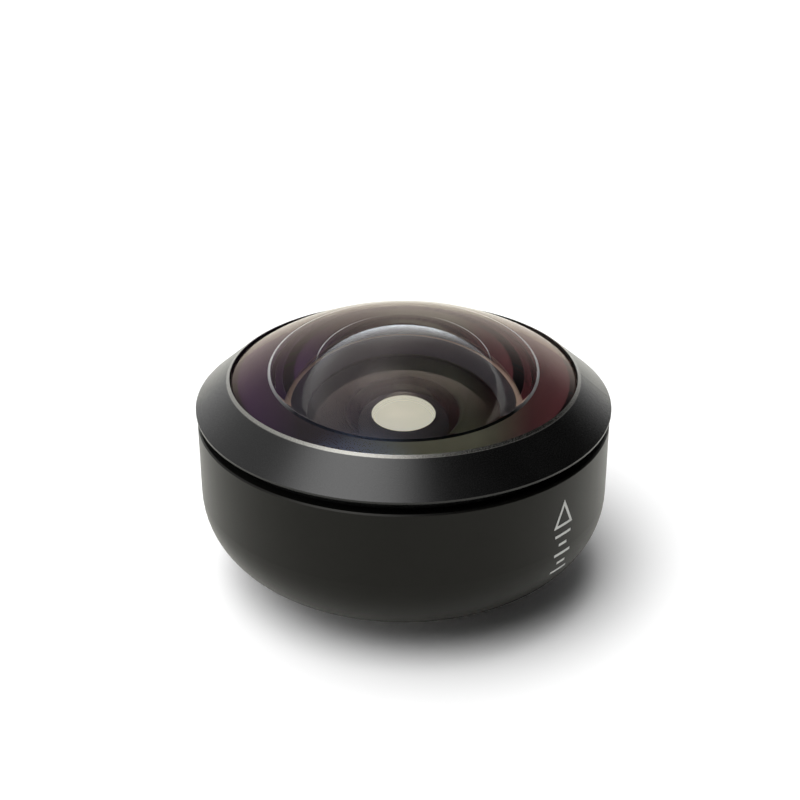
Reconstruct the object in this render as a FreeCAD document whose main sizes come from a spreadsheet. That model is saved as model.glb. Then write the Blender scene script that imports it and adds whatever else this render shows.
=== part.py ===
import FreeCAD, Part
import Sketcher
import math
import os
import re

# A wide-angle lens that fits over the camera of a phone, about 36 mm across and 23 mm deep.
# The optical axis is Z. The rear face of the bayonet mount lies on Z = 0 and the domed front
# glass points to +Z. All sizes are millimetres.

doc = FreeCAD.newDocument("phone_fisheye_lens")
sizes = doc.addObject("Spreadsheet::Sheet", "Sizes")

# Every size that can be chosen by itself. Heights are measured along the optical axis.
DRIVING_SIZES = [
    ("edge_break", 0.12, "small chamfer on the machined edges that show"),
    ("turning_fit", 0.05, "radial gap between two turned parts that fit into each other"),
    ("glass_fit", 0.05, "radial gap round each glass element"),
    ("bezel_diameter", 36.0, "widest circle of the bezel"),
    ("bezel_band", 0.3, "short upright band below the cone of the bezel"),
    ("cone_width", 2.75, "cone of the bezel, measured across"),
    ("cone_height", 2.4, "cone of the bezel, measured along the axis"),
    ("lip_width", 0.25, "narrow bright lip inside the cone"),
    ("lip_rise", 0.15, "rise of the lip above the cone"),
    ("lip_thickness", 1.1, "lip on its inner edge"),
    ("lip_overlap", 0.5, "how far the lip reaches over the edge of the front element"),
    ("dome_gap", 0.1, "gap between the lip and the dome"),
    ("thread_step", 0.55, "step from the bore round the front element to the thread of the bezel"),
    ("skirt_wall", 0.85, "skirt of the bezel, the inner wall of the black groove"),
    ("skirt_depth", 1.15, "how far the skirt's recess goes down into the rim of the shell"),
    ("neck_gasket_height", 0.3, "flat gasket under the skirt"),
    ("cap_groove", 0.9, "width of the black groove between shell and bezel"),
    ("body_step", 0.1, "how far the bezel stands out past the shell"),
    ("shell_height", 13.05, "bowl-shaped shell, from its flat base to its rim"),
    ("shell_wall", 1.4, "wall of the shell"),
    ("base_web", 1.25, "base of the shell above the mount's recess"),
    ("base_land", 0.85, "flat ring of the base between the mount and the large round"),
    ("foot_gap", 0.25, "gap between the barrel's foot and the inner round of the shell"),
    ("waist_wall", 1.6, "wall of the barrel round the thread of the well ring"),
    ("waist_height", 4.4, "height at which the foot widens to the waist"),
    ("flange_height", 8.2, "underside of the barrel's wide head above the foot's face"),
    ("boss_wall", 1.1, "wall of the rear boss of the barrel"),
    ("boss_recess", 0.6, "how far the rear boss stays inside the mount's rear face"),
    ("front_curve", 27.0, "radius of the domed front face"),
    ("front_edge", 0.8, "edge of the front element below the ledge for the bezel's lip"),
    ("front_shoulder", 1.05, "upright step from that ledge to the dome"),
    ("front_centre", 0.85, "thickness of the front element on the axis"),
    ("front_hollow_curve", 12.95, "radius of the deep hollow behind the front element"),
    ("hollow_bevel", 0.13, "height of the ground bevel round the hollow"),
    ("hollow_bevel_width", 0.2, "width of the ground bevel round the hollow"),
    ("front_gasket_height", 0.15, "gasket between the lip and the front element"),
    ("front_washer_width", 2.0, "washer under the front element, measured across"),
    ("washer_height", 0.1, "thin black washers under the front and second elements"),
    ("well_step", 1.6, "step from the bore round the second element to the thread of the well ring"),
    ("well_top_wall", 0.85, "wall of the well ring at its top"),
    ("well_shoulder", 0.6, "height of the narrow nose of the well ring"),
    ("well_head_gap", 0.1, "gap above the well ring, so that it never lifts the front element"),
    ("second_diameter", 20.0, "second element"),
    ("second_land", 0.6, "flat rim round its front face"),
    ("second_curve", 60.0, "radius of its front face"),
    ("second_edge", 3.1, "thickness of its edge"),
    ("second_centre", 0.8, "thickness of the second element on the axis"),
    ("second_hollow_curve", 6.9, "radius of the hollow behind the second element"),
    ("web_height", 4.8, "underside of the barrel's inner web above the foot's face"),
    ("web_thickness", 1.25, "inner web of the barrel"),
    ("pupil_diameter", 8.0, "opening in the web, which shows as the bright pupil"),
    ("rear_bore_diameter", 12.0, "rear bore of the barrel, for the three small elements"),
    ("third_land", 1.55, "flat rim round both faces of the third element"),
    ("third_curve", 14.0, "radius of both faces of the third element"),
    ("third_edge", 1.0, "thickness of its edge"),
    ("spacer_height", 2.2, "spacer between the third and the crown element"),
    ("stop_reach", 0.75, "how far the knife edge in the spacer reaches in to limit the light"),
    ("stop_edge", 0.15, "thickness of the knife edge"),
    ("crown_land", 1.35, "flat rim round both faces of the crown element"),
    ("crown_curve", 10.0, "radius of its front face"),
    ("crown_edge", 0.8, "thickness of its edge"),
    ("cement_curve", 8.0, "radius of the cemented faces"),
    ("cement_film", 0.02, "film of cement between the crown and flint elements"),
    ("flint_land", 1.15, "flat rim round the rear face of the flint element"),
    ("flint_edge", 2.3, "thickness of its edge"),
    ("flint_curve", 25.0, "radius of its rear face"),
    ("rear_gasket_height", 0.2, "gasket under the rear retaining ring"),
    ("rear_gasket_wall", 0.8, "radial width of that gasket"),
    ("retainer_height", 1.4, "rear retaining ring"),
    ("retainer_wall", 1.0, "rear retaining ring at its front"),
    ("retainer_flare", 0.45, "widening of its opening towards the rear"),
    ("notch_count", 2, "spanner notches round the retaining ring"),
    ("notch_width", 0.9, "width of those notches"),
    ("notch_depth", 0.5, "depth of those notches"),
    ("mount_depth", 2.0, "how far the bayonet mount stands out of the shell"),
    ("spigot_wall", 1.2, "wall of the spigot of the bayonet mount"),
    ("mount_flange_height", 0.8, "flange of the mount in the base of the shell"),
    ("flange_margin", 0.05, "metal left on both sides of a screw's seat in the flange"),
    ("lug_reach", 1.2, "how far a bayonet lug stands out of the spigot"),
    ("lug_height", 0.8, "thickness of a lug"),
    ("lug_angle", 40.0, "arc of a lug, in degrees"),
    ("lug_count", 3, "bayonet lugs round the mount, and as many screws between them"),
    ("shim_height", 0.15, "brass shim that sets the distance to the phone's camera"),
    ("screw_diameter", 1.2, "thread of the mount's screws"),
    ("screw_head_diameter", 1.9, "countersunk head of those screws"),
    ("screw_head_height", 0.5, "height of that head, down to the shank"),
    ("screw_length", 3.8, "screws, over all"),
    ("screw_clearance", 0.1, "radial gap of a screw in the mount, the shim and the shell"),
    ("tapped_hole_depth", 2.3, "tapped holes in the foot of the barrel"),
    ("pin_diameter", 0.8, "locating pin between shell and barrel"),
    ("pin_length", 2.0, "locating pin"),
    ("pin_fit", 0.02, "gap round the locating pin and the tapped screws"),
]

# Heights and radii that follow from the driving sizes.
DERIVED_SIZES = [
    ("body_radius", "bezel_diameter / 2 - body_step"),
    ("opening_radius", "bezel_diameter / 2 - cone_width - lip_width"),
    ("front_radius", "opening_radius + lip_overlap"),
    ("dome_radius", "opening_radius - dome_gap"),
    ("thread_radius", "front_radius + turning_fit + thread_step"),
    ("skirt_radius", "thread_radius + skirt_wall"),
    ("boss_radius", "rear_bore_diameter / 2 + boss_wall"),
    ("boss_bore", "boss_radius + 2 * turning_fit"),
    ("mount_radius", "boss_bore + spigot_wall"),
    ("mount_flange_radius",
     "mount_radius + screw_head_diameter + 2 * screw_clearance + 2 * flange_margin"),
    ("screw_circle_radius", "(mount_radius + mount_flange_radius) / 2"),
    ("base_radius", "mount_flange_radius + base_land"),
    ("shell_corner", "body_radius - base_radius"),
    ("shell_bore", "body_radius - shell_wall"),
    ("shell_rim", "mount_depth + shell_height"),
    ("shell_ledge", "shell_rim - skirt_depth"),
    ("shim_seat", "mount_depth + mount_flange_height"),
    ("recess_roof", "shim_seat + shim_height"),
    ("shell_floor", "recess_roof + base_web"),
    ("bezel_foot", "shell_rim + cap_groove"),
    ("bezel_widest", "bezel_foot + bezel_band"),
    ("bezel_crown", "bezel_widest + cone_height"),
    ("skirt_foot", "shell_ledge + neck_gasket_height"),
    ("lip_underside", "bezel_crown + lip_rise - lip_thickness"),
    ("front_ledge", "lip_underside - front_gasket_height"),
    ("front_seat", "front_ledge - front_edge"),
    ("barrel_head", "front_seat - washer_height"),
    ("front_rim", "front_ledge + front_shoulder"),
    ("front_apex", "front_rim + front_curve - sqrt(front_curve^2 - dome_radius^2)"),
    ("front_hollow_apex", "front_apex - front_centre"),
    ("hollow_edge", "front_seat + hollow_bevel"),
    ("hollow_edge_radius",
     "sqrt(front_hollow_curve^2 - (front_hollow_curve - front_hollow_apex + hollow_edge)^2)"),
    ("foot_radius", "base_radius - foot_gap"),
    ("well_radius", "second_diameter / 2 + well_step"),
    ("waist_radius", "well_radius + waist_wall"),
    ("web_underside", "shell_floor + web_height"),
    ("web_top", "web_underside + web_thickness"),
    ("second_seat", "web_top + washer_height"),
    ("second_rim", "second_seat + second_edge"),
    ("second_clear_radius", "second_diameter / 2 - second_land"),
    ("second_apex", "second_rim + second_curve - sqrt(second_curve^2 - second_clear_radius^2)"),
    ("second_hollow_apex", "second_apex - second_centre"),
    ("second_hollow_radius",
     "sqrt(second_hollow_curve^2 - (second_hollow_curve - second_hollow_apex + second_seat)^2)"),
    ("well_foot_radius", "second_clear_radius + turning_fit"),
    ("well_shoulder_height", "second_rim + well_shoulder"),
    ("rear_glass_radius", "rear_bore_diameter / 2 - glass_fit"),
    ("third_clear_radius", "rear_glass_radius - third_land"),
    ("crown_clear_radius", "rear_glass_radius - crown_land"),
    ("flint_clear_radius", "rear_glass_radius - flint_land"),
    ("web_bore", "third_clear_radius + turning_fit"),
    ("spacer_bore", "crown_clear_radius + turning_fit"),
    ("third_rear", "web_underside - third_edge"),
    ("third_sag", "third_curve - sqrt(third_curve^2 - third_clear_radius^2)"),
    ("crown_front", "third_rear - spacer_height"),
    ("crown_rear", "crown_front - crown_edge"),
    ("crown_sag", "crown_curve - sqrt(crown_curve^2 - crown_clear_radius^2)"),
    ("cement_sag", "cement_curve - sqrt(cement_curve^2 - crown_clear_radius^2)"),
    ("flint_front", "crown_rear - cement_film"),
    ("flint_rear", "flint_front - flint_edge"),
    ("flint_sag", "flint_curve - sqrt(flint_curve^2 - flint_clear_radius^2)"),
    ("retainer_front", "flint_rear - rear_gasket_height"),
    ("retainer_rear", "retainer_front - retainer_height"),
    ("screw_point", "mount_depth + screw_length"),
]

row = 0
for name, millimetres, note in DRIVING_SIZES:
    row += 1
    sizes.set(f"A{row}", name)
    sizes.set(f"B{row}", str(millimetres))
    sizes.set(f"C{row}", note)
    sizes.setAlias(f"B{row}", name)
for name, formula in DERIVED_SIZES:
    row += 1
    sizes.set(f"A{row}", name)
    sizes.set(f"B{row}", "=" + formula)
    sizes.setAlias(f"B{row}", name)
doc.recompute()

bodies = []


def bound(formula):
    """Write a formula of size names as an expression that other objects can use."""
    return re.sub(r"[a-z][a-z_]*[a-z]", lambda word: "Sizes." + word.group(0), formula)


def number(formula):
    """The present value of a formula of size names."""
    return float(sizes.evalExpression(formula))


def new_body(name):
    """An empty body whose label is the name of its file."""
    body = doc.addObject("PartDesign::Body", name)
    body.Label = name
    body.Placement = FreeCAD.Placement()
    bodies.append(body)
    return body


def origin_part(body, role):
    """One of the body's own origin planes or axes."""
    return [item for item in body.Origin.OriginFeatures if item.Role == role][0]


def new_sketch(body, name, plane="XZ_Plane", turn=0.0):
    """A sketch on an origin plane. On the XZ plane its first axis is the radius and its second
    the height, and turn swings the plane about the optical axis by so many degrees."""
    sketch = body.newObject("Sketcher::SketchObject", name)
    sketch.AttachmentSupport = (origin_part(body, plane), [""])
    sketch.MapMode = "FlatFace"
    if turn:
        spin = FreeCAD.Rotation(FreeCAD.Vector(0, 1, 0), turn)
        sketch.AttachmentOffset = FreeCAD.Placement(FreeCAD.Vector(), spin)
    return sketch


def pin_point(sketch, edge, end, across, up, label):
    """Tie one end of an edge to a radius and a height that the sheet gives."""
    for kind, formula, tag in (("DistanceX", across, "r"), ("DistanceY", up, "z")):
        value = number(formula)
        if abs(value) < 1e-9:
            axis = -2 if kind == "DistanceX" else -1
            sketch.addConstraint(Sketcher.Constraint("PointOnObject", edge, end, axis))
            continue
        index = sketch.addConstraint(Sketcher.Constraint(kind, -1, 1, edge, end, value))
        sketch.renameConstraint(index, tag + label)
        sketch.setExpression("Constraints." + tag + label, bound(formula))


def draw_outline(sketch, corners):
    """Draw a closed outline through (radius, height) corners given as formulas.
    "dome" after a corner bends the edge that starts there about a centre on the axis."""
    spots = [(number(corner[0]), number(corner[1])) for corner in corners]
    count = len(corners)
    ends = []
    for here in range(count):
        ax, az = spots[here]
        bx, bz = spots[(here + 1) % count]
        if len(corners[here]) < 3:
            line = Part.LineSegment(FreeCAD.Vector(ax, az, 0), FreeCAD.Vector(bx, bz, 0))
            edge = sketch.addGeometry(line, False)
            ends.append((edge, 1, 2))
            continue
        middle = (bx * bx - ax * ax + bz * bz - az * az) / (2 * (bz - az))
        angles = [math.atan2(az - middle, ax), math.atan2(bz - middle, bx)]
        circle = Part.Circle(FreeCAD.Vector(0, middle, 0), FreeCAD.Vector(0, 0, 1),
                             math.hypot(ax, az - middle))
        edge = sketch.addGeometry(Part.ArcOfCircle(circle, min(angles), max(angles)), False)
        sketch.addConstraint(Sketcher.Constraint("PointOnObject", edge, 3, -2))
        ends.append((edge, 1, 2) if angles[0] < angles[1] else (edge, 2, 1))
    for here in range(count):
        edge, start, finish = ends[here]
        after, after_start, _ = ends[(here + 1) % count]
        sketch.addConstraint(Sketcher.Constraint("Coincident", edge, finish, after, after_start))
        pin_point(sketch, edge, start, corners[here][0], corners[here][1], str(here + 1))


def turned(body, corners):
    """Turn an outline fully about the optical axis."""
    sketch = new_sketch(body, body.Name + "_outline")
    draw_outline(sketch, corners)
    feature = body.newObject("PartDesign::Revolution", body.Name + "_turning")
    feature.Profile = sketch
    feature.ReferenceAxis = (sketch, ["V_Axis"])
    feature.Angle = 360
    doc.recompute()
    return feature


def offset_turning(body, kind, name, off_axis, corners, turn=0.0):
    """Turn an outline about a line that is parallel to the optical axis and off_axis away.
    The radii of the corners count from that line. kind is Revolution or Groove."""
    sketch = new_sketch(body, name + "_outline", "XZ_Plane", turn)
    highest = max(number(corner[1]) for corner in corners)
    centre = number(off_axis)
    line = Part.LineSegment(FreeCAD.Vector(centre, 0, 0), FreeCAD.Vector(centre, highest, 0))
    axis = sketch.addGeometry(line, True)
    sketch.addConstraint(Sketcher.Constraint("Vertical", axis))
    sketch.addConstraint(Sketcher.Constraint("PointOnObject", axis, 1, -1))
    pin_point(sketch, axis, 2, off_axis, corners[0][1], "0")
    draw_outline(sketch, [(off_axis + " + " + across, up) for across, up in corners])
    feature = body.newObject("PartDesign::" + kind, name)
    feature.Profile = sketch
    feature.ReferenceAxis = (sketch, ["Axis0"])
    feature.Angle = 360
    doc.recompute()
    return feature


def around(body, feature, name, count_formula):
    """Repeat a feature evenly about the optical axis and make that the body's result."""
    pattern = body.newObject("PartDesign::PolarPattern", name)
    pattern.Originals = [feature]
    pattern.Axis = (origin_part(body, "Z_Axis"), [""])
    pattern.Angle = 360
    pattern.Occurrences = int(number(count_formula))
    pattern.setExpression("Occurrences", bound(count_formula))
    body.Tip = pattern
    doc.recompute()
    return pattern


def circle_edges(feature, radius_formula, height_formula):
    """Names of the feature's circular edges of this radius at this height."""
    radius = number(radius_formula)
    height = number(height_formula)
    found = []
    for place, edge in enumerate(feature.Shape.Edges, 1):
        curve = edge.Curve
        if not isinstance(curve, Part.Circle):
            continue
        if abs(curve.Radius - radius) < 1e-4 and abs(curve.Center.z - height) < 1e-4:
            found.append("Edge%d" % place)
    return found


def soften(body, feature, kind, name, size_formula, *edges):
    """Fillet or chamfer the circular edges given as (radius, height) formulas."""
    names = []
    for radius_formula, height_formula in edges:
        names += circle_edges(feature, radius_formula, height_formula)
    finish = body.newObject("PartDesign::" + kind, name)
    finish.Base = (feature, names)
    finish.setExpression("Radius" if kind == "Fillet" else "Size", bound(size_formula))
    body.Tip = finish
    doc.recompute()
    return finish


# Body shell: the bowl that shows below the groove. Its wall runs up straight, a large round
# leads into the flat base, and the rim is bored out for the skirt of the bezel.
body_shell = new_body("body_shell")
shell = turned(body_shell, [
    ("boss_bore", "shell_floor"),
    ("boss_bore", "recess_roof"),
    ("mount_flange_radius + turning_fit", "recess_roof"),
    ("mount_flange_radius + turning_fit", "mount_depth"),
    ("body_radius", "mount_depth"),
    ("body_radius", "shell_rim"),
    ("skirt_radius + turning_fit", "shell_rim"),
    ("skirt_radius + turning_fit", "shell_ledge"),
    ("shell_bore", "shell_ledge"),
    ("shell_bore", "shell_floor"),
])
shell = soften(body_shell, shell, "Fillet", "shell_outer_round", "shell_corner",
               ("body_radius", "mount_depth"))
shell = soften(body_shell, shell, "Fillet", "shell_inner_round", "shell_corner - shell_wall",
               ("shell_bore", "shell_floor"))
shell = soften(body_shell, shell, "Chamfer", "shell_edge_breaks", "edge_break",
               ("body_radius", "shell_rim"),
               ("mount_flange_radius + turning_fit", "mount_depth"))
screw_way = offset_turning(body_shell, "Groove", "shell_screw_way", "screw_circle_radius", [
    ("0", "shell_floor"),
    ("screw_diameter / 2 + screw_clearance", "shell_floor"),
    ("screw_diameter / 2 + screw_clearance", "recess_roof"),
    ("0", "recess_roof"),
], 180 / number("lug_count"))
around(body_shell, screw_way, "shell_screw_ways", "lug_count")
offset_turning(body_shell, "Groove", "shell_pin_hole", "screw_circle_radius", [
    ("0", "shell_floor"),
    ("pin_diameter / 2 + pin_fit", "shell_floor"),
    ("pin_diameter / 2 + pin_fit", "shell_floor - pin_length / 2"),
    ("0", "shell_floor - pin_length / 2"),
])

# Lens barrel: carries every element. Its wide head takes the front element and the thread of
# the bezel, an inner web with the pupil's sharp edge parts the front well from the rear bore,
# and its foot stands on the base of the shell with a boss that reaches through it.
lens_barrel = new_body("lens_barrel")
barrel = turned(lens_barrel, [
    ("rear_bore_diameter / 2", "boss_recess"),
    ("boss_radius", "boss_recess"),
    ("boss_radius", "shell_floor"),
    ("foot_radius", "shell_floor"),
    ("foot_radius", "shell_floor + waist_height"),
    ("waist_radius", "shell_floor + waist_height + waist_radius - foot_radius"),
    ("waist_radius", "shell_floor + flange_height"),
    ("shell_bore - 2 * turning_fit", "shell_floor + flange_height"),
    ("shell_bore - 2 * turning_fit", "shell_ledge"),
    ("thread_radius - turning_fit", "shell_ledge"),
    ("thread_radius - turning_fit", "barrel_head"),
    ("well_radius", "barrel_head"),
    ("well_radius", "well_shoulder_height - well_head_gap"),
    ("second_diameter / 2 + glass_fit", "well_shoulder_height - well_head_gap"),
    ("second_diameter / 2 + glass_fit", "web_top"),
    ("pupil_diameter / 2", "web_top"),
    ("web_bore", "web_underside"),
    ("rear_bore_diameter / 2", "web_underside"),
])
barrel = soften(lens_barrel, barrel, "Chamfer", "barrel_edge_breaks", "edge_break",
                ("boss_radius", "boss_recess"),
                ("foot_radius", "shell_floor"))
tapped_hole = offset_turning(lens_barrel, "Groove", "barrel_tapped_hole", "screw_circle_radius", [
    ("0", "shell_floor"),
    ("screw_diameter / 2 + pin_fit", "shell_floor"),
    ("screw_diameter / 2 + pin_fit", "shell_floor + tapped_hole_depth"),
    ("0", "shell_floor + tapped_hole_depth + screw_diameter / 4"),
], 180 / number("lug_count"))
around(lens_barrel, tapped_hole, "barrel_tapped_holes", "lug_count")
offset_turning(lens_barrel, "Groove", "barrel_pin_hole", "screw_circle_radius", [
    ("0", "shell_floor"),
    ("pin_diameter / 2 + pin_fit", "shell_floor"),
    ("pin_diameter / 2 + pin_fit", "shell_floor + pin_length / 2 + pin_fit"),
    ("0", "shell_floor + pin_length / 2 + pin_fit"),
])

# Front bezel: the cone round the glass, with a narrow bright lip that holds the glass down and
# a threaded skirt that forms the inner wall of the black groove.
front_bezel = new_body("front_bezel")
bezel = turned(front_bezel, [
    ("opening_radius", "lip_underside"),
    ("opening_radius", "bezel_crown + lip_rise"),
    ("opening_radius + lip_width", "bezel_crown"),
    ("bezel_diameter / 2", "bezel_widest"),
    ("bezel_diameter / 2", "bezel_foot"),
    ("skirt_radius", "bezel_foot"),
    ("skirt_radius", "skirt_foot"),
    ("thread_radius", "skirt_foot"),
    ("thread_radius", "front_seat"),
    ("front_radius + turning_fit", "front_seat"),
    ("front_radius + turning_fit", "lip_underside"),
])
soften(front_bezel, bezel, "Chamfer", "bezel_edge_breaks", "edge_break",
       ("bezel_diameter / 2", "bezel_foot"),
       ("skirt_radius", "skirt_foot"))

# Gaskets and washers: flat rings between the turned parts and the glass.
neck_gasket = new_body("neck_gasket")
turned(neck_gasket, [
    ("shell_bore + turning_fit", "shell_ledge"),
    ("skirt_radius", "shell_ledge"),
    ("skirt_radius", "skirt_foot"),
    ("shell_bore + turning_fit", "skirt_foot"),
])
front_gasket = new_body("front_gasket")
turned(front_gasket, [
    ("dome_radius + glass_fit", "front_ledge"),
    ("front_radius", "front_ledge"),
    ("front_radius", "lip_underside"),
    ("dome_radius + glass_fit", "lip_underside"),
])
front_washer = new_body("front_washer")
turned(front_washer, [
    ("front_radius - front_washer_width", "barrel_head"),
    ("front_radius", "barrel_head"),
    ("front_radius", "front_seat"),
    ("front_radius - front_washer_width", "front_seat"),
])
second_washer = new_body("second_washer")
turned(second_washer, [
    ("second_hollow_radius + turning_fit", "web_top"),
    ("second_diameter / 2", "web_top"),
    ("second_diameter / 2", "second_seat"),
    ("second_hollow_radius + turning_fit", "second_seat"),
])
rear_gasket = new_body("rear_gasket")
turned(rear_gasket, [
    ("rear_glass_radius - rear_gasket_wall", "retainer_front"),
    ("rear_glass_radius", "retainer_front"),
    ("rear_glass_radius", "flint_rear"),
    ("rear_glass_radius - rear_gasket_wall", "flint_rear"),
])

# Front element: a large thin meniscus. The dome fills the bezel, a stepped edge takes the lip,
# and the deep hollow behind it ends in a narrow ground bevel.
front_element = new_body("front_element")
turned(front_element, [
    ("0", "front_hollow_apex", "dome"),
    ("hollow_edge_radius", "hollow_edge"),
    ("hollow_edge_radius + hollow_bevel_width", "front_seat"),
    ("front_radius", "front_seat"),
    ("front_radius", "front_ledge"),
    ("dome_radius", "front_ledge"),
    ("dome_radius", "front_rim", "dome"),
    ("0", "front_apex"),
])

# Second element: a smaller, thicker meniscus at the bottom of the well.
second_element = new_body("second_element")
turned(second_element, [
    ("0", "second_hollow_apex", "dome"),
    ("second_hollow_radius", "second_seat"),
    ("second_diameter / 2", "second_seat"),
    ("second_diameter / 2", "second_rim"),
    ("second_clear_radius", "second_rim", "dome"),
    ("0", "second_apex"),
])

# Well ring: the threaded ring that holds the second element down. Its tapering inside is the
# dark wall that shows through the front glass.
well_ring = new_body("well_ring")
turned(well_ring, [
    ("well_foot_radius", "second_rim"),
    ("second_diameter / 2", "second_rim"),
    ("second_diameter / 2", "well_shoulder_height"),
    ("well_radius - turning_fit", "well_shoulder_height"),
    ("well_radius - turning_fit", "barrel_head - well_head_gap"),
    ("well_radius - well_top_wall", "barrel_head - well_head_gap"),
])

# Third element: a small lens, curved on both sides, against the underside of the web.
third_element = new_body("third_element")
turned(third_element, [
    ("0", "third_rear - third_sag", "dome"),
    ("third_clear_radius", "third_rear"),
    ("rear_glass_radius", "third_rear"),
    ("rear_glass_radius", "web_underside"),
    ("third_clear_radius", "web_underside", "dome"),
    ("0", "web_underside + third_sag"),
])

# Stop spacer: keeps the third element and the cemented pair apart, and its knife edge stops
# stray light.
stop_spacer = new_body("stop_spacer")
turned(stop_spacer, [
    ("spacer_bore", "crown_front"),
    ("rear_glass_radius", "crown_front"),
    ("rear_glass_radius", "third_rear"),
    ("spacer_bore", "third_rear"),
    ("spacer_bore - stop_reach", "crown_front + spacer_height / 2 + stop_edge / 2"),
    ("spacer_bore - stop_reach", "crown_front + spacer_height / 2 - stop_edge / 2"),
])

# Crown and flint elements: the cemented pair at the rear.
crown_element = new_body("crown_element")
turned(crown_element, [
    ("0", "crown_rear - cement_sag", "dome"),
    ("crown_clear_radius", "crown_rear"),
    ("rear_glass_radius", "crown_rear"),
    ("rear_glass_radius", "crown_front"),
    ("crown_clear_radius", "crown_front", "dome"),
    ("0", "crown_front + crown_sag"),
])
flint_element = new_body("flint_element")
turned(flint_element, [
    ("0", "flint_rear - flint_sag", "dome"),
    ("flint_clear_radius", "flint_rear"),
    ("rear_glass_radius", "flint_rear"),
    ("rear_glass_radius", "flint_front"),
    ("crown_clear_radius", "flint_front", "dome"),
    ("0", "flint_front - cement_sag"),
])

# Rear retaining ring: screwed into the rear bore, with two spanner notches in its rear face.
rear_retainer = new_body("rear_retainer")
retainer = turned(rear_retainer, [
    ("rear_glass_radius - retainer_wall", "retainer_front"),
    ("rear_glass_radius - retainer_wall + retainer_flare", "retainer_rear"),
    ("rear_glass_radius", "retainer_rear"),
    ("rear_glass_radius", "retainer_front"),
])
notch_sketch = new_sketch(rear_retainer, "retainer_notch_outline", "XY_Plane")
draw_outline(notch_sketch, [
    ("0", "-notch_width / 2"),
    ("rear_bore_diameter / 2", "-notch_width / 2"),
    ("rear_bore_diameter / 2", "notch_width / 2"),
    ("0", "notch_width / 2"),
])
notch = rear_retainer.newObject("PartDesign::Pocket", "retainer_notch")
notch.Profile = notch_sketch
notch.Reversed = True
notch.setExpression("Length", bound("retainer_rear + notch_depth"))
doc.recompute()
around(rear_retainer, notch, "retainer_notches", "notch_count")

# Bayonet mount: a flange in the base of the shell, a spigot that enters the phone's case, and
# lugs that turn behind the case's tabs. Countersunk screws pass between the lugs.
bayonet_mount = new_body("bayonet_mount")
mount = turned(bayonet_mount, [
    ("boss_bore", "0"),
    ("mount_radius", "0"),
    ("mount_radius", "mount_depth"),
    ("mount_flange_radius", "mount_depth"),
    ("mount_flange_radius", "shim_seat"),
    ("boss_bore", "shim_seat"),
])
mount = soften(bayonet_mount, mount, "Chamfer", "mount_edge_breaks", "edge_break",
               ("mount_radius", "0"),
               ("boss_bore", "0"))
lug_sketch = new_sketch(bayonet_mount, "lug_outline")
draw_outline(lug_sketch, [
    ("mount_radius - edge_break * 2", "edge_break"),
    ("mount_radius + lug_reach - edge_break", "edge_break"),
    ("mount_radius + lug_reach", "edge_break * 2"),
    ("mount_radius + lug_reach", "edge_break + lug_height"),
    ("mount_radius - edge_break * 2", "edge_break + lug_height"),
])
lug = bayonet_mount.newObject("PartDesign::Revolution", "lug")
lug.Profile = lug_sketch
lug.ReferenceAxis = (lug_sketch, ["V_Axis"])
lug.Midplane = True
lug.setExpression("Angle", bound("lug_angle"))
doc.recompute()
around(bayonet_mount, lug, "lugs", "lug_count")
screw_seat = offset_turning(bayonet_mount, "Groove", "screw_seat", "screw_circle_radius", [
    ("0", "shim_seat"),
    ("screw_diameter / 2 + screw_clearance", "shim_seat"),
    ("screw_diameter / 2 + screw_clearance", "mount_depth + screw_head_height"),
    ("screw_head_diameter / 2 + screw_clearance", "mount_depth"),
    ("0", "mount_depth"),
], 180 / number("lug_count"))
around(bayonet_mount, screw_seat, "screw_seats", "lug_count")

# Mount shim: a thin brass ring between the mount and the shell.
mount_shim = new_body("mount_shim")
turned(mount_shim, [
    ("boss_bore + turning_fit", "shim_seat"),
    ("mount_flange_radius", "shim_seat"),
    ("mount_flange_radius", "recess_roof"),
    ("boss_bore + turning_fit", "recess_roof"),
])
shim_hole = offset_turning(mount_shim, "Groove", "shim_hole", "screw_circle_radius", [
    ("0", "recess_roof"),
    ("screw_diameter / 2 + screw_clearance", "recess_roof"),
    ("screw_diameter / 2 + screw_clearance", "shim_seat"),
    ("0", "shim_seat"),
], 180 / number("lug_count"))
around(mount_shim, shim_hole, "shim_holes", "lug_count")

# Mount screws: they pull the mount, the shell and the barrel together.
mount_screws = new_body("mount_screws")
mount_screws.AllowCompound = True
screw = offset_turning(mount_screws, "Revolution", "screw", "screw_circle_radius", [
    ("0", "screw_point"),
    ("screw_diameter / 2", "screw_point - screw_diameter / 4"),
    ("screw_diameter / 2", "mount_depth + screw_head_height"),
    ("screw_head_diameter / 2", "mount_depth + pin_fit"),
    ("0", "mount_depth + pin_fit"),
], 180 / number("lug_count"))
around(mount_screws, screw, "screws", "lug_count")

# Locating pin: half in the base of the shell and half in the foot of the barrel.
locating_pin = new_body("locating_pin")
offset_turning(locating_pin, "Revolution", "pin", "screw_circle_radius", [
    ("0", "shell_floor + pin_length / 2"),
    ("pin_diameter / 2", "shell_floor + pin_length / 2"),
    ("pin_diameter / 2", "shell_floor - pin_length / 2"),
    ("0", "shell_floor - pin_length / 2"),
])

# Check the whole document, then write one file for each piece.
doc.recompute()
for item in doc.Objects:
    if "Invalid" in item.State or "Error" in item.State:
        raise RuntimeError(item.Name + " is " + ", ".join(item.State))
for body in bodies:
    if body.Shape.isNull() or not body.Shape.isValid() or not body.Shape.Solids:
        raise RuntimeError(body.Label + " has no valid solid")

os.makedirs("parts", exist_ok=True)
for body in bodies:
    body.Shape.exportStep("parts/" + body.Label + ".step")
    box = body.Shape.BoundBox
    print("%-16s %8.2f mm3  z %6.2f to %6.2f  r %5.2f  solids %d" % (
        body.Label, body.Shape.Volume, box.ZMin, box.ZMax, box.XMax, len(body.Shape.Solids)))
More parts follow.
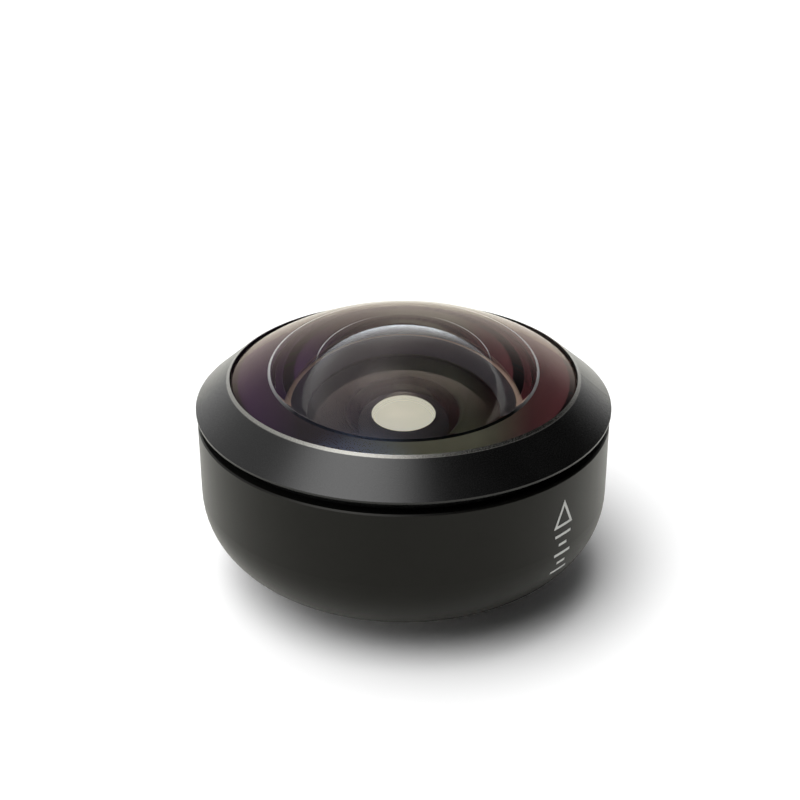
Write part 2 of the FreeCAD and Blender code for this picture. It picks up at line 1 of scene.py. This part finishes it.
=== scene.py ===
import math
import bpy
import numpy as np
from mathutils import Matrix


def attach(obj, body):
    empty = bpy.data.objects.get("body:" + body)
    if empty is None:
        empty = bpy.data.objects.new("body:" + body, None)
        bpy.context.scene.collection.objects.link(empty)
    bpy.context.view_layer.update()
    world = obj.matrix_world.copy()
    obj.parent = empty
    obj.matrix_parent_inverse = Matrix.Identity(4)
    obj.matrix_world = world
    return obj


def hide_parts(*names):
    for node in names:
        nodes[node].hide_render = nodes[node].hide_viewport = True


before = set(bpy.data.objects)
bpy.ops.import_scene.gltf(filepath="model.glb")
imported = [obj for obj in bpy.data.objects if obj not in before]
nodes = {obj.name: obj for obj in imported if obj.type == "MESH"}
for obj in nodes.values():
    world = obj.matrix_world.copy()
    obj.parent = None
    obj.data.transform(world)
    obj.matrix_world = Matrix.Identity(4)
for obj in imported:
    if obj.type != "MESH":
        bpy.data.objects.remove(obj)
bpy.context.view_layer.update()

# Camera: 137.5 mm from the middle of the bezel's widest circle and 26.7 degrees above it, like a
# macro camera at the edge of the table. The small shift puts that middle where the photo has it.
MM = 0.001
RISE = math.radians(26.72)
STAND = 137.54 * MM
WIDEST = 16.25 * MM
camera_data = bpy.data.cameras.new("camera")
camera_data.sensor_width = 36.0
camera_data.lens = 71.0
camera_data.shift_x = -0.0045
camera_data.shift_y = -0.0029
camera_data.clip_start = 0.005
camera = bpy.data.objects.new("camera", camera_data)
bpy.context.scene.collection.objects.link(camera)
camera.location = (0.0, -STAND * math.cos(RISE), WIDEST + STAND * math.sin(RISE))
camera.rotation_euler = (math.pi / 2 - RISE, 0.0, 0.0)
bpy.context.scene.camera = camera


# Studio room: pale walls, brightest at the back left and dark high on the right, with a soft lamp
# at the front left and one overhead. The camera sees the room as paper white.
def add_node(tree, kind, inputs={}, **settings):
    """One shader node with its settings, and with its inputs linked or set."""
    made = tree.nodes.new("ShaderNode" + kind)
    for word, value in settings.items():
        setattr(made, word, value)
    for socket, value in inputs.items():
        if isinstance(value, bpy.types.NodeSocket):
            tree.links.new(value, made.inputs[socket])
        else:
            made.inputs[socket].default_value = value
    return made


def worked_out(tree, kind, first, second=0.0):
    """The result of one step of arithmetic, such as ADD or MULTIPLY, on two values."""
    return add_node(tree, "Math", {0: first, 1: second}, operation=kind).outputs[0]


def spread(tree, value, low, high, to_low, to_high):
    """Value from low to high carried over to to_low to to_high, and held outside."""
    return add_node(tree, "MapRange", {"Value": value, "From Min": low, "From Max": high,
                                       "To Min": to_low, "To Max": to_high}).outputs[0]


bpy.context.scene.view_settings.view_transform = "Standard"
world = bpy.data.worlds.new("studio")
bpy.context.scene.world = world
world.use_nodes = True
room = world.node_tree
room.nodes.clear()
room_way = add_node(room, "TexCoord").outputs["Generated"]
room_path = add_node(room, "LightPath").outputs
through_glass = room_path["Is Transmission Ray"]


def toward(direction, low, high, dim, bright):
    """How bright the room is towards a direction: dim where the cosine to it is low or less, and
    bright from high on."""
    turn = add_node(room, "VectorMath", {0: room_way, 1: direction}, operation="DOT_PRODUCT")
    return add_node(room, "MapRange", {"Value": turn.outputs["Value"], "From Min": low,
                                       "From Max": high, "To Min": dim, "To Max": bright},
                    interpolation_type="SMOOTHSTEP").outputs[0]


back_left = toward((-0.60, 0.74, 0.30), low=-0.6, high=0.6, dim=0.1, bright=1.07)
ceiling = toward((0.0, 0.0, 1.0), low=0.2, high=0.5, dim=1.0, bright=0.7)
upper_right = toward((0.74, -0.12, 0.66), low=0.25, high=0.85, dim=1.0, bright=0.0)
low_back = toward((0.0, 0.96, 0.27), low=0.7, high=1.0, dim=0.45, bright=1.8)
overhead_lamp = toward((-0.10, 0.17, 0.98), low=0.88, high=1.0, dim=0.0, bright=3.5)
front_lamp = toward((-0.33, -0.33, 0.884), low=0.86, high=1.0, dim=0.0, bright=4.6)

# Seen through the glass, the low back wall is stronger and the lamps are weaker, which stands for
# the coats of the real lens. The overhead lamp is for the table and its shadow, and never glints.
LAMPS_THROUGH_GLASS = 0.25
walls = worked_out(room, "MULTIPLY", back_left, ceiling)
walls = worked_out(room, "MULTIPLY", walls, upper_right)
more_wall = worked_out(room, "MULTIPLY", through_glass, low_back)
walls = worked_out(room, "MULTIPLY", walls, worked_out(room, "ADD", more_wall, 1.0))
no_glint = spread(room, room_path["Is Glossy Ray"], 0.0, 1.0, 1.0, 0.0)
overhead_lamp = worked_out(room, "MULTIPLY", overhead_lamp, no_glint)
lamp_share = spread(room, through_glass, 0.0, 1.0, 1.0, LAMPS_THROUGH_GLASS)
lamps = worked_out(room, "ADD", overhead_lamp, front_lamp)
lamps = worked_out(room, "MULTIPLY", lamps, lamp_share)
glow = add_node(room, "Mix", {0: room_path["Is Camera Ray"],
                              2: worked_out(room, "ADD", walls, lamps), 3: 1.0})
light = add_node(room, "Background", {"Color": (1.0, 1.0, 1.0, 1.0), "Strength": glow.outputs[0]})
add_node(room, "OutputWorld", {"Surface": light.outputs[0]})


# Table: a wide sheet of white paper. It keeps the lens's shadow, and its reflection in the shell
# and the bezel is a little warm.
def blend_colours(tree, share, first, second):
    """The first colour where share is 0 and the second where it is 1."""
    return add_node(tree, "Mix", {0: share, 6: first, 7: second}, data_type="RGBA").outputs[2]


TABLE_HALF = 2000.0 * MM
TABLE_DROP = 0.02 * MM
PAPER = (0.8, 0.8, 0.8, 1.0)
PAPER_SEEN = (1.0, 1.0, 1.0, 1.0)
PAPER_MIRRORED = (0.96, 0.955, 0.89, 1.0)
table_mesh = bpy.data.meshes.new("table_top")
table_corners = np.array([(-1, -1, 0), (1, -1, 0), (1, 1, 0), (-1, 1, 0)]) * TABLE_HALF
table_mesh.from_pydata((table_corners - (0, 0, TABLE_DROP)).tolist(), [], [(0, 1, 2, 3)])
table_top = bpy.data.objects.new("table_top", table_mesh)
bpy.context.scene.collection.objects.link(table_top)
paper = bpy.data.materials.new("table_paper")
paper.use_nodes = True
table_mesh.materials.append(paper)
tree = paper.node_tree
tree.nodes.clear()
paper_path = add_node(tree, "LightPath").outputs
paper_seen = worked_out(tree, "MAXIMUM", paper_path["Is Camera Ray"],
                        paper_path["Is Transmission Ray"])
paper_tone = blend_colours(tree, paper_seen, PAPER, PAPER_SEEN)
paper_tone = blend_colours(tree, paper_path["Is Glossy Ray"], paper_tone, PAPER_MIRRORED)
matte = add_node(tree, "BsdfDiffuse", {"Color": paper_tone})
add_node(tree, "OutputMaterial", {"Surface": matte.outputs[0]})


# Lens barrel with its spacer and rear ring: turned from aluminium and anodised matt black. The
# spacer is laid in the rear bore and the rear ring is screwed in behind the small elements. The
# barrel's inner web shows through the two front elements as the dark funnel round the pupil.
def effect_group(name, inputs, outputs):
    """An empty node group with the named inputs and float outputs, and its two ends."""
    group = bpy.data.node_groups.new(name, "ShaderNodeTree")
    for word, kind, value in inputs:
        socket = group.interface.new_socket(word, in_out="INPUT", socket_type="NodeSocket" + kind)
        if value is not None:
            socket.default_value = value
    for word in outputs:
        group.interface.new_socket(word, in_out="OUTPUT", socket_type="NodeSocketFloat")
    ends = group.nodes.new("NodeGroupInput").outputs, group.nodes.new("NodeGroupOutput").inputs
    return group, ends[0], ends[1]


def use_group(tree, group, inputs):
    """The group placed in a material, with its inputs linked or set."""
    placed = add_node(tree, "Group", node_tree=group)
    for socket, value in inputs.items():
        if isinstance(value, bpy.types.NodeSocket):
            tree.links.new(value, placed.inputs[socket])
        else:
            placed.inputs[socket].default_value = value
    return placed.outputs


def from_axis(tree, parts):
    """The distance from the optical axis, from the separate X and Y of a place."""
    flat = add_node(tree, "CombineXYZ", {0: parts[0], 1: parts[1]})
    return add_node(tree, "VectorMath", {0: flat.outputs[0]}, operation="LENGTH").outputs["Value"]


# Fine grain of a blasted and anodised surface, with slow clouds from handling and dye. A pitch is
# the number of waves to a metre.
GRAIN_PITCH, COARSE_PITCH, CLOUD_PITCH = 20000.0, 9000.0, 260.0
grain_group, at, out = effect_group(
    "anodised_grain", [("Place", "Vector", None), ("Pitch", "Float", GRAIN_PITCH)],
    ["Grain", "Cloud"])
fine = add_node(grain_group, "TexNoise", {"Vector": at["Place"], "Scale": at["Pitch"],
                                          "Detail": 3.0, "Roughness": 0.6})
slow = add_node(grain_group, "TexNoise", {"Vector": at["Place"], "Scale": CLOUD_PITCH,
                                          "Detail": 2.0})
grain_group.links.new(fine.outputs[0], out["Grain"])
grain_group.links.new(slow.outputs[0], out["Cloud"])

# Turning marks: rings left by the tool, which change with radius and height and not round the
# circle.
TOOL_PITCH = 9000.0
marks_group, at, out = effect_group(
    "turning_marks", [("Place", "Vector", None), ("Pitch", "Float", TOOL_PITCH)], ["Marks"])
parts = add_node(marks_group, "SeparateXYZ", {0: at["Place"]}).outputs
rings = add_node(marks_group, "CombineXYZ", {0: from_axis(marks_group, parts), 1: parts[2]})
lines = add_node(marks_group, "TexNoise", {"Vector": rings.outputs[0], "Scale": at["Pitch"],
                                           "Detail": 2.0})
marks_group.links.new(lines.outputs[0], out["Marks"])
RELIEF = 0.01 * MM


def finish_material(name, colour, cloud_colour, rough, rough_spread, pitch=GRAIN_PITCH,
                    bump=0.15, marks=0.0, metallic=0.0, gloss=0.5):
    """A metal, moulded or painted finish: two tones in slow clouds, roughness and relief from the
    grain, and turning marks of the given share."""
    made = bpy.data.materials.new(name)
    made.use_nodes = True
    tree = made.node_tree
    shader = tree.nodes["Principled BSDF"]
    place = add_node(tree, "TexCoord").outputs["Object"]
    grain = use_group(tree, grain_group, {"Place": place, "Pitch": pitch})
    rings = use_group(tree, marks_group, {"Place": place})
    height = add_node(tree, "Mix", {0: marks, 2: grain["Grain"], 3: rings["Marks"]}).outputs[0]
    cloud = spread(tree, grain["Cloud"], 0.35, 0.65, 0.0, 1.0)
    tone = blend_colours(tree, cloud, (*colour, 1.0), (*cloud_colour, 1.0))
    tree.links.new(tone, shader.inputs["Base Color"])
    wear = spread(tree, height, 0.3, 0.7, rough - rough_spread, rough + rough_spread)
    tree.links.new(wear, shader.inputs["Roughness"])
    relief = add_node(tree, "Bump", {"Strength": bump, "Distance": RELIEF, "Height": height})
    tree.links.new(relief.outputs[0], shader.inputs["Normal"])
    shader.inputs["Metallic"].default_value = metallic
    shader.inputs["Specular IOR Level"].default_value = gloss
    return made


def dress(name, material):
    """The CAD node keeps its shape and gets this material in every slot."""
    if not nodes[name].material_slots:
        nodes[name].data.materials.append(material)
    for slot in nodes[name].material_slots:
        slot.material = material


barrel_black = finish_material(
    "barrel_black", (0.046, 0.042, 0.044), (0.056, 0.052, 0.054), rough=0.5, rough_spread=0.06,
    marks=1.0, bump=0.05)
for name in ("lens_barrel", "stop_spacer", "rear_retainer"):
    dress(name, barrel_black)


# Well ring: a black aluminium ring screwed into the barrel, which holds the second element down.
# Its upper edge is painted light tan as a painted highlight, which shows at the rim of the hollow.
def colour_over(material, share, colour):
    """The material's base colour turns to colour where share is 1."""
    tree = material.node_tree
    base = tree.nodes["Principled BSDF"].inputs["Base Color"]
    before = base.links[0].from_socket
    tree.links.new(blend_colours(tree, share, before, (*colour, 1.0)), base)


# The painted highlight band is lower at the back: its height is taken along a direction that leans
# forward.
HIGHLIGHT_FROM, HIGHLIGHT_TO = 15.9 * MM, 16.0 * MM
HIGHLIGHT_WAY = (0.0, -0.045, 1.0)
HIGHLIGHT_TAN = (0.75, 0.52, 0.40)
well_black = finish_material(
    "well_black", (0.060, 0.050, 0.056), (0.070, 0.058, 0.066), rough=0.5, rough_spread=0.06,
    marks=1.0, bump=0.05)
tree = well_black.node_tree
place = add_node(tree, "TexCoord").outputs["Object"]
highlight_height = add_node(tree, "VectorMath", {0: place, 1: HIGHLIGHT_WAY}, operation="DOT_PRODUCT")
painted_highlight = spread(tree, highlight_height.outputs["Value"], HIGHLIGHT_FROM, HIGHLIGHT_TO, 0.0, 1.0)
colour_over(well_black, painted_highlight, HIGHLIGHT_TAN)
dress("well_ring", well_black)

# Gaskets and washers: moulded rubber rings under the bezel and the rear ring, and thin black
# plastic film between glass and metal. They are laid in and pressed by the threaded rings.
rubber = finish_material(
    "gasket_rubber", (0.02, 0.02, 0.02), (0.03, 0.03, 0.03), rough=0.7, rough_spread=0.05,
    pitch=COARSE_PITCH)
for name in ("neck_gasket", "front_gasket", "rear_gasket"):
    dress(name, rubber)
washer_film = finish_material(
    "washer_film", (0.01, 0.01, 0.01), (0.014, 0.014, 0.014), rough=0.4, rough_spread=0.05)
for name in ("front_washer", "second_washer"):
    dress(name, washer_film)

# Body shell: a bowl turned from aluminium, blasted fine and anodised satin black. The screws of
# the mount pass through its base and hold it to the barrel's foot.
SHELL_TINT = (1.0, 0.985, 0.93, 1.0)
shell_black = finish_material(
    "shell_black", (0.0020, 0.0020, 0.0017), (0.0030, 0.0030, 0.0026), rough=0.34,
    rough_spread=0.04, gloss=0.17)
shell_black.node_tree.nodes["Principled BSDF"].inputs["Specular Tint"].default_value = SHELL_TINT
dress("body_shell", shell_black)

# Front bezel: a cone ring of black anodised aluminium, screwed over the front element. Its narrow
# lip is cut bright after the anodising, so that bare metal shows.
LIP_FULL, LIP_END = 15.24 * MM, 15.30 * MM
LIP_LOW, LIP_HIGH = 18.5 * MM, 18.6 * MM
LIP_METAL = (0.28, 0.275, 0.255)
bezel_black = finish_material(
    "bezel_black", (0.0028, 0.0028, 0.0028), (0.0038, 0.0038, 0.0038), rough=0.26,
    rough_spread=0.04, bump=0.08, gloss=0.38)
tree = bezel_black.node_tree
parts = add_node(tree, "SeparateXYZ", {0: add_node(tree, "TexCoord").outputs["Object"]}).outputs
lip = worked_out(tree, "MULTIPLY",
                 spread(tree, from_axis(tree, parts), LIP_FULL, LIP_END, 1.0, 0.0),
                 spread(tree, parts[2], LIP_LOW, LIP_HIGH, 0.0, 1.0))
colour_over(bezel_black, lip, LIP_METAL)
tree.links.new(lip, tree.nodes["Principled BSDF"].inputs["Metallic"])
dress("front_bezel", bezel_black)

# Bayonet mount with its shim, screws and pin: turned stainless steel on a thin brass ring. Three
# countersunk steel screws go through both into the barrel, and a steel pin keeps the shell from
# turning on it.
mount_steel = finish_material(
    "mount_steel", (0.45, 0.44, 0.43), (0.5, 0.49, 0.47), rough=0.3, rough_spread=0.08,
    marks=0.8, metallic=1.0)
dress("bayonet_mount", mount_steel)
shim_brass = finish_material(
    "shim_brass", (0.6, 0.42, 0.2), (0.66, 0.46, 0.22), rough=0.3, rough_spread=0.06,
    marks=0.6, metallic=1.0)
dress("mount_shim", shim_brass)
screw_steel = finish_material(
    "screw_steel", (0.2, 0.2, 0.2), (0.26, 0.25, 0.25), rough=0.35, rough_spread=0.05,
    metallic=1.0)
for name in ("mount_screws", "locating_pin"):
    dress(name, screw_steel)


# Front element: one large meniscus of crown glass, coated, domed in front and deeply hollow
# behind. Its edge and the ring round the hollow are inked, with painted reflections on the ink.
# Its ledge is ground and painted pale as a painted highlight, and the narrow bevel round the
# hollow is dark with a painted sheen. The bezel's lip holds it down by the ledge.
def dome(apex, curve, reach, steps):
    """Points (radius, height) from the axis out to reach, on a ball of radius curve whose top is
    at apex: (curve sin a, apex - curve + curve cos a)."""
    turn = np.linspace(0.0, math.asin(reach / curve), steps)
    return np.stack([curve * np.sin(turn), apex - curve + curve * np.cos(turn)], axis=1)


def turned(name, outline, material_list, slots, sectors=256, sharp=30.0):
    """A closed outline of (radius, height) points in mm, carried once round the optical axis. The
    point (r, z) at angle a stands at (r cos a, r sin a, z), and a point on the axis stays one
    vertex. slots gives the stretch after each point its material."""
    line = np.array(outline, float)
    angle = np.arange(sectors) * (2 * math.pi / sectors)
    off_axis = line[:, 0] > 1e-9
    start = np.concatenate([[0], np.cumsum(np.where(off_axis, sectors, 1))[:-1]])
    here = start[:, None] + np.where(off_axis[:, None], np.arange(sectors)[None, :], 0)
    there = np.roll(here, -1, axis=0)
    grid = np.stack([line[:, 0, None] * np.cos(angle), line[:, 0, None] * np.sin(angle),
                     np.repeat(line[:, 1, None], sectors, axis=1)], axis=2)
    points = grid[off_axis[:, None] | (np.arange(sectors) == 0)[None, :]] * MM
    quads = np.stack([here, np.roll(here, -1, axis=1), np.roll(there, -1, axis=1), there], axis=2)
    next_off_axis = np.roll(off_axis, -1)
    bands = off_axis & next_off_axis
    closing = off_axis & ~next_off_axis
    opening = ~off_axis & next_off_axis
    faces = quads[bands].reshape(-1, 4).tolist()
    faces += quads[closing][:, :, [0, 1, 2]].reshape(-1, 3).tolist()
    faces += quads[opening][:, :, [0, 2, 3]].reshape(-1, 3).tolist()
    numbers = np.concatenate([np.repeat(slots[kind], sectors)
                              for kind in (bands, closing, opening)])
    mesh = bpy.data.meshes.new(name)
    mesh.from_pydata(points.tolist(), [], faces)
    for material in material_list:
        mesh.materials.append(material)
    mesh.polygons.foreach_set("material_index", numbers.astype(np.int32))
    mesh.polygons.foreach_set("use_smooth", np.ones(len(faces), bool))
    mesh.set_sharp_from_angle(angle=math.radians(sharp))
    mesh.update()
    piece = bpy.data.objects.new(name, mesh)
    bpy.context.scene.collection.objects.link(piece)
    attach(piece, "root")
    return piece


def clear_glass(name, index, coat, coat_index, tint):
    """Polished glass of the given index under a coat, coat nm thick, that leaves a weak reflection
    of the given tint. The glass itself clouds a very little."""
    made = bpy.data.materials.new(name)
    made.use_nodes = True
    tree = made.node_tree
    shader = tree.nodes["Principled BSDF"]
    haze = use_group(tree, grain_group, {"Place": add_node(tree, "TexCoord").outputs["Object"]})
    tone = blend_colours(tree, haze["Cloud"], (0.97, 0.975, 0.97, 1.0), (0.985, 0.985, 0.985, 1.0))
    tree.links.new(tone, shader.inputs["Base Color"])
    shader.inputs["Roughness"].default_value = 0.0
    shader.inputs["IOR"].default_value = index
    shader.inputs["Transmission Weight"].default_value = 1.0
    shader.inputs["Thin Film Thickness"].default_value = coat
    shader.inputs["Thin Film IOR"].default_value = coat_index
    shader.inputs["Specular Tint"].default_value = (*tint, 1.0)
    return made


CROWN_INDEX = 1.5168
glass_front = clear_glass("glass_front", CROWN_INDEX, coat=126.0, coat_index=1.36,
                          tint=(1.0, 0.88, 0.78))
glass_hollow = clear_glass("glass_hollow", CROWN_INDEX, coat=120.0, coat_index=1.42,
                           tint=(0.88, 0.93, 1.0))

# The ink is brown black. Over it are painted reflections: olive in the middle for the lamp
# overhead, wine on the right and violet on the left for the coloured reflections of the coats.
OLIVE_REFLECTION_MIDDLE, OLIVE_REFLECTION_FULL, OLIVE_REFLECTION_END = 2.5 * MM, 3.0 * MM, 7.5 * MM
WINE_REFLECTION_START, WINE_REFLECTION_FULL = 7.0 * MM, 13.5 * MM
VIOLET_REFLECTION_START, VIOLET_REFLECTION_FULL = -8.0 * MM, -14.0 * MM
ink_and_reflections = finish_material(
    "edge_ink_and_reflections", (0.038, 0.026, 0.022), (0.044, 0.030, 0.026), rough=0.6, rough_spread=0.05,
    bump=0.02, marks=1.0, gloss=0.05)
tree = ink_and_reflections.node_tree
across = add_node(tree, "SeparateXYZ", {0: add_node(tree, "TexCoord").outputs["Object"]}).outputs[0]
olive_reflection_way = worked_out(tree, "ABSOLUTE", worked_out(tree, "SUBTRACT", across, OLIVE_REFLECTION_MIDDLE))
colour_over(ink_and_reflections, spread(tree, olive_reflection_way, OLIVE_REFLECTION_FULL, OLIVE_REFLECTION_END, 1.0, 0.0), (0.150, 0.145, 0.100))
colour_over(ink_and_reflections, spread(tree, across, WINE_REFLECTION_START, WINE_REFLECTION_FULL, 0.0, 1.0), (0.15, 0.040, 0.045))
colour_over(ink_and_reflections, spread(tree, across, VIOLET_REFLECTION_FULL, VIOLET_REFLECTION_START, 1.0, 0.0), (0.085, 0.030, 0.105))

# The ground bevel is dark ink with a painted sheen: its colour turns pale where it is seen at a
# slant, and stays dark where it is faced.
PAINTED_SHEEN_START, PAINTED_SHEEN_FULL = 0.15, 0.35
bevel_ink = finish_material(
    "bevel_ink", (0.008, 0.008, 0.008), (0.008, 0.008, 0.008), rough=0.6, rough_spread=0.03,
    bump=0.03, gloss=0.0)
tree = bevel_ink.node_tree
sheen_slant = add_node(tree, "LayerWeight", {"Blend": 0.5}).outputs["Facing"]
colour_over(bevel_ink, spread(tree, sheen_slant, PAINTED_SHEEN_START, PAINTED_SHEEN_FULL, 0.0, 1.0), (0.9, 0.9, 0.9))
# The ledge is painted near white, a painted highlight that shows as a bright line through the
# glass.
ledge_painted_highlight = finish_material(
    "ledge_painted_highlight", (0.9, 0.9, 0.9), (0.85, 0.85, 0.85), rough=0.4, rough_spread=0.05, bump=0.03)

GLASS_EDGE, GLASS_FOOT, BEVEL_EDGE = 15.5, 16.75, 10.688
LEDGE_EDGE, LEDGE_HEIGHT = 14.9, 17.55
front_dome = dome(apex=23.0834, curve=27.0, reach=LEDGE_EDGE, steps=96)
front_hollow = dome(apex=22.2334, curve=12.95, reach=10.488, steps=96)
front_rim = [(BEVEL_EDGE, GLASS_FOOT), (GLASS_EDGE, GLASS_FOOT), (GLASS_EDGE, LEDGE_HEIGHT),
             (LEDGE_EDGE, LEDGE_HEIGHT)]
outline = np.concatenate([front_hollow, front_rim, front_dome[::-1]])
POLISHED, INKED, BEVEL, HOLLOW, LEDGE = range(5)
# From the hollow over its bevel, the inked ring, the edge, the ledge and the step up to the dome.
slots = np.repeat([HOLLOW, BEVEL, INKED, INKED, LEDGE, INKED, POLISHED],
                  [len(front_hollow) - 1, 1, 1, 1, 1, 1, len(front_dome)])
front_glass = turned("front_glass", outline,
                     [glass_front, ink_and_reflections, bevel_ink, glass_hollow, ledge_painted_highlight], slots)
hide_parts("front_element")

# Second element and the small ones behind the web: denser coated glass with inked rims. The
# second sits at the bottom of the well, under the well ring. The third, and the crown and flint
# that are cemented to each other, are stacked in the rear bore.
glass_second = clear_glass("glass_second", 1.6, coat=105.0, coat_index=1.38, tint=(0.5, 0.5, 0.5))
# A face that bulges down is a dome with its top below zero, turned over: its heights change sign.
TURNED_OVER = (1, -1)
for name, node, rear, rim, front in (
        ("second_glass", "second_element",
         dome(apex=13.3909, curve=6.9, reach=5.7199, steps=64),
         [(10.0, 10.35), (10.0, 13.45)],
         dome(apex=14.1909, curve=60.0, reach=9.4, steps=48)),
        ("third_glass", "third_element",
         dome(apex=-7.2906, curve=14.0, reach=4.4, steps=32) * TURNED_OVER,
         [(5.95, 8.0), (5.95, 9.0)],
         dome(apex=9.7094, curve=14.0, reach=4.4, steps=32)),
        ("crown_glass", "crown_element",
         dome(apex=-3.5452, curve=8.0, reach=4.6, steps=32) * TURNED_OVER,
         [(5.95, 5.0), (5.95, 5.8)],
         dome(apex=6.9208, curve=10.0, reach=4.6, steps=32)),
        ("flint_glass", "flint_element",
         dome(apex=-2.2149, curve=25.0, reach=4.8, steps=32) * TURNED_OVER,
         [(5.95, 2.68), (5.95, 4.98)],
         dome(apex=-3.5252, curve=8.0, reach=4.6, steps=32) * TURNED_OVER)):
    outline = np.concatenate([rear, rim, front[::-1]])
    slots = np.repeat([POLISHED, INKED, POLISHED], [len(rear) - 1, len(rim) + 1, len(front)])
    inner_glass = turned(name, outline, [glass_second, ink_and_reflections], slots)
    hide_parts(node)


# Index mark: a pale enamel triangle over five bars, printed on the right of the shell. It runs
# down the wall and on round the bowl, and stands a hundredth of a millimetre proud.
def stroke(points, closed=False, width=0.24, step=0.25):
    """Both edges of a line of even width through the points (across, down), with mitred corners:
    an array of pairs, no more than step apart. At each point the edges lie half a width off along
    the bisector of its two runs, further out at a corner by one over the cosine of half its
    turn."""
    corners = np.array(points + points[:1] if closed else points, float)
    runs = np.diff(corners, axis=0)
    reach = np.hypot(runs[:, 0], runs[:, 1])
    shares = [np.linspace(0.0, 1.0, max(2, int(math.ceil(part / step)) + 1))[:-1, None]
              for part in reach]
    line = np.concatenate([corners[i] + share * runs[i] for i, share in enumerate(shares)]
                          + ([] if closed else [corners[-1:]]))
    ahead = np.roll(line, -1, axis=0) - line
    behind = line - np.roll(line, 1, axis=0)
    if not closed:
        ahead[-1] = behind[-1]
        behind[0] = ahead[0]
    ahead /= np.hypot(ahead[:, 0], ahead[:, 1])[:, None]
    behind /= np.hypot(behind[:, 0], behind[:, 1])[:, None]
    side = np.stack([-(ahead + behind)[:, 1], (ahead + behind)[:, 0]], axis=1)
    side *= width / (side ** 2).sum(axis=1)[:, None]
    return np.stack([line - side, line + side], axis=1)


WALL_RUN = 4.55
BOWL_RADIUS = 6.45
BOWL_ACROSS, BOWL_HEIGHT = 11.45, 8.45
PAINT_LOW, PAINT_HIGH = -0.012, 0.012


def printed(name, strokes, middle, material):
    """Strips of paint on the shell, closed all round, from PAINT_LOW to PAINT_HIGH along the
    shell's normal. The point (u, v) of a stroke lies at the angle middle + u / r round the
    optical axis. On the wall, for v up to WALL_RUN, (r, z) = (BOWL_ACROSS + BOWL_RADIUS,
    BOWL_HEIGHT + WALL_RUN - v). From there on it is (BOWL_ACROSS + BOWL_RADIUS cos t,
    BOWL_HEIGHT - BOWL_RADIUS sin t), with t = (v - WALL_RUN) / BOWL_RADIUS."""
    points, faces, start = [], [], 0
    for edges, closed in strokes:
        count = len(edges)
        u, v = edges[:, [0, 1, 1, 0], 0], edges[:, [0, 1, 1, 0], 1]
        turn = np.maximum(v - WALL_RUN, 0.0) / BOWL_RADIUS
        lift = np.array([PAINT_LOW, PAINT_LOW, PAINT_HIGH, PAINT_HIGH])
        r = BOWL_ACROSS + (BOWL_RADIUS + lift) * np.cos(turn)
        z = BOWL_HEIGHT - (BOWL_RADIUS + lift) * np.sin(turn) + np.maximum(WALL_RUN - v, 0.0)
        angle = middle + u / r
        points.append(np.stack([r * np.cos(angle), r * np.sin(angle), z], axis=2).reshape(-1, 3))
        here = start + np.arange(count * 4).reshape(count, 4)
        there = np.roll(here, -1, axis=0)
        quads = np.stack([here, there, np.roll(there, -1, axis=1), np.roll(here, -1, axis=1)],
                         axis=2)
        faces += (quads if closed else quads[:-1]).reshape(-1, 4).tolist()
        if not closed:
            faces += [here[0].tolist(), here[-1, ::-1].tolist()]
        start += count * 4
    mesh = bpy.data.meshes.new(name)
    mesh.from_pydata((np.concatenate(points) * MM).tolist(), [], faces)
    mesh.materials.append(material)
    mesh.update()
    piece = bpy.data.objects.new(name, mesh)
    bpy.context.scene.collection.objects.link(piece)
    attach(piece, "root")
    return piece


# Each bar is given by its distance down from the rim and half its length.
MARK_ANGLE = math.radians(-43.0)
TRIANGLE = [(-1.0, 2.2), (1.0, 2.2), (0.0, 0.15)]
BARS = [(3.1, 1.0), (4.0, 0.5), (4.9, 1.0), (5.8, 0.5), (6.7, 1.0)]
enamel = finish_material(
    "mark_enamel", (0.72, 0.72, 0.69), (0.66, 0.66, 0.63), rough=0.5, rough_spread=0.05,
    pitch=COARSE_PITCH, bump=0.05, gloss=0.3)
mark_strokes = [(stroke(TRIANGLE, closed=True), True)]
mark_strokes += [(stroke([(-half, down), (half, down)]), False) for down, half in BARS]
index_mark = printed("index_mark", mark_strokes, MARK_ANGLE, enamel)

# Pupil: the warm glow of the pale card behind the lens, as it fills the opening in the web. A
# disc lamp stands in the opening and shines forward.
PUPIL_DIAMETER = 8.4 * MM
PUPIL_HEIGHT = 10.0 * MM
PUPIL_RADIANCE = 0.55
pupil = bpy.data.lights.new("pupil_light", "AREA")
pupil.shape = "DISK"
pupil.color = (1.0, 0.96, 0.78)
pupil.size = PUPIL_DIAMETER
pupil.energy = math.pi * (math.pi * (PUPIL_DIAMETER / 2) ** 2) * PUPIL_RADIANCE
pupil_lamp = bpy.data.objects.new("pupil_light", pupil)
bpy.context.scene.collection.objects.link(pupil_lamp)
pupil_lamp.location = (0.0, 0.0, PUPIL_HEIGHT)
pupil_lamp.rotation_euler = (math.pi, 0.0, 0.0)
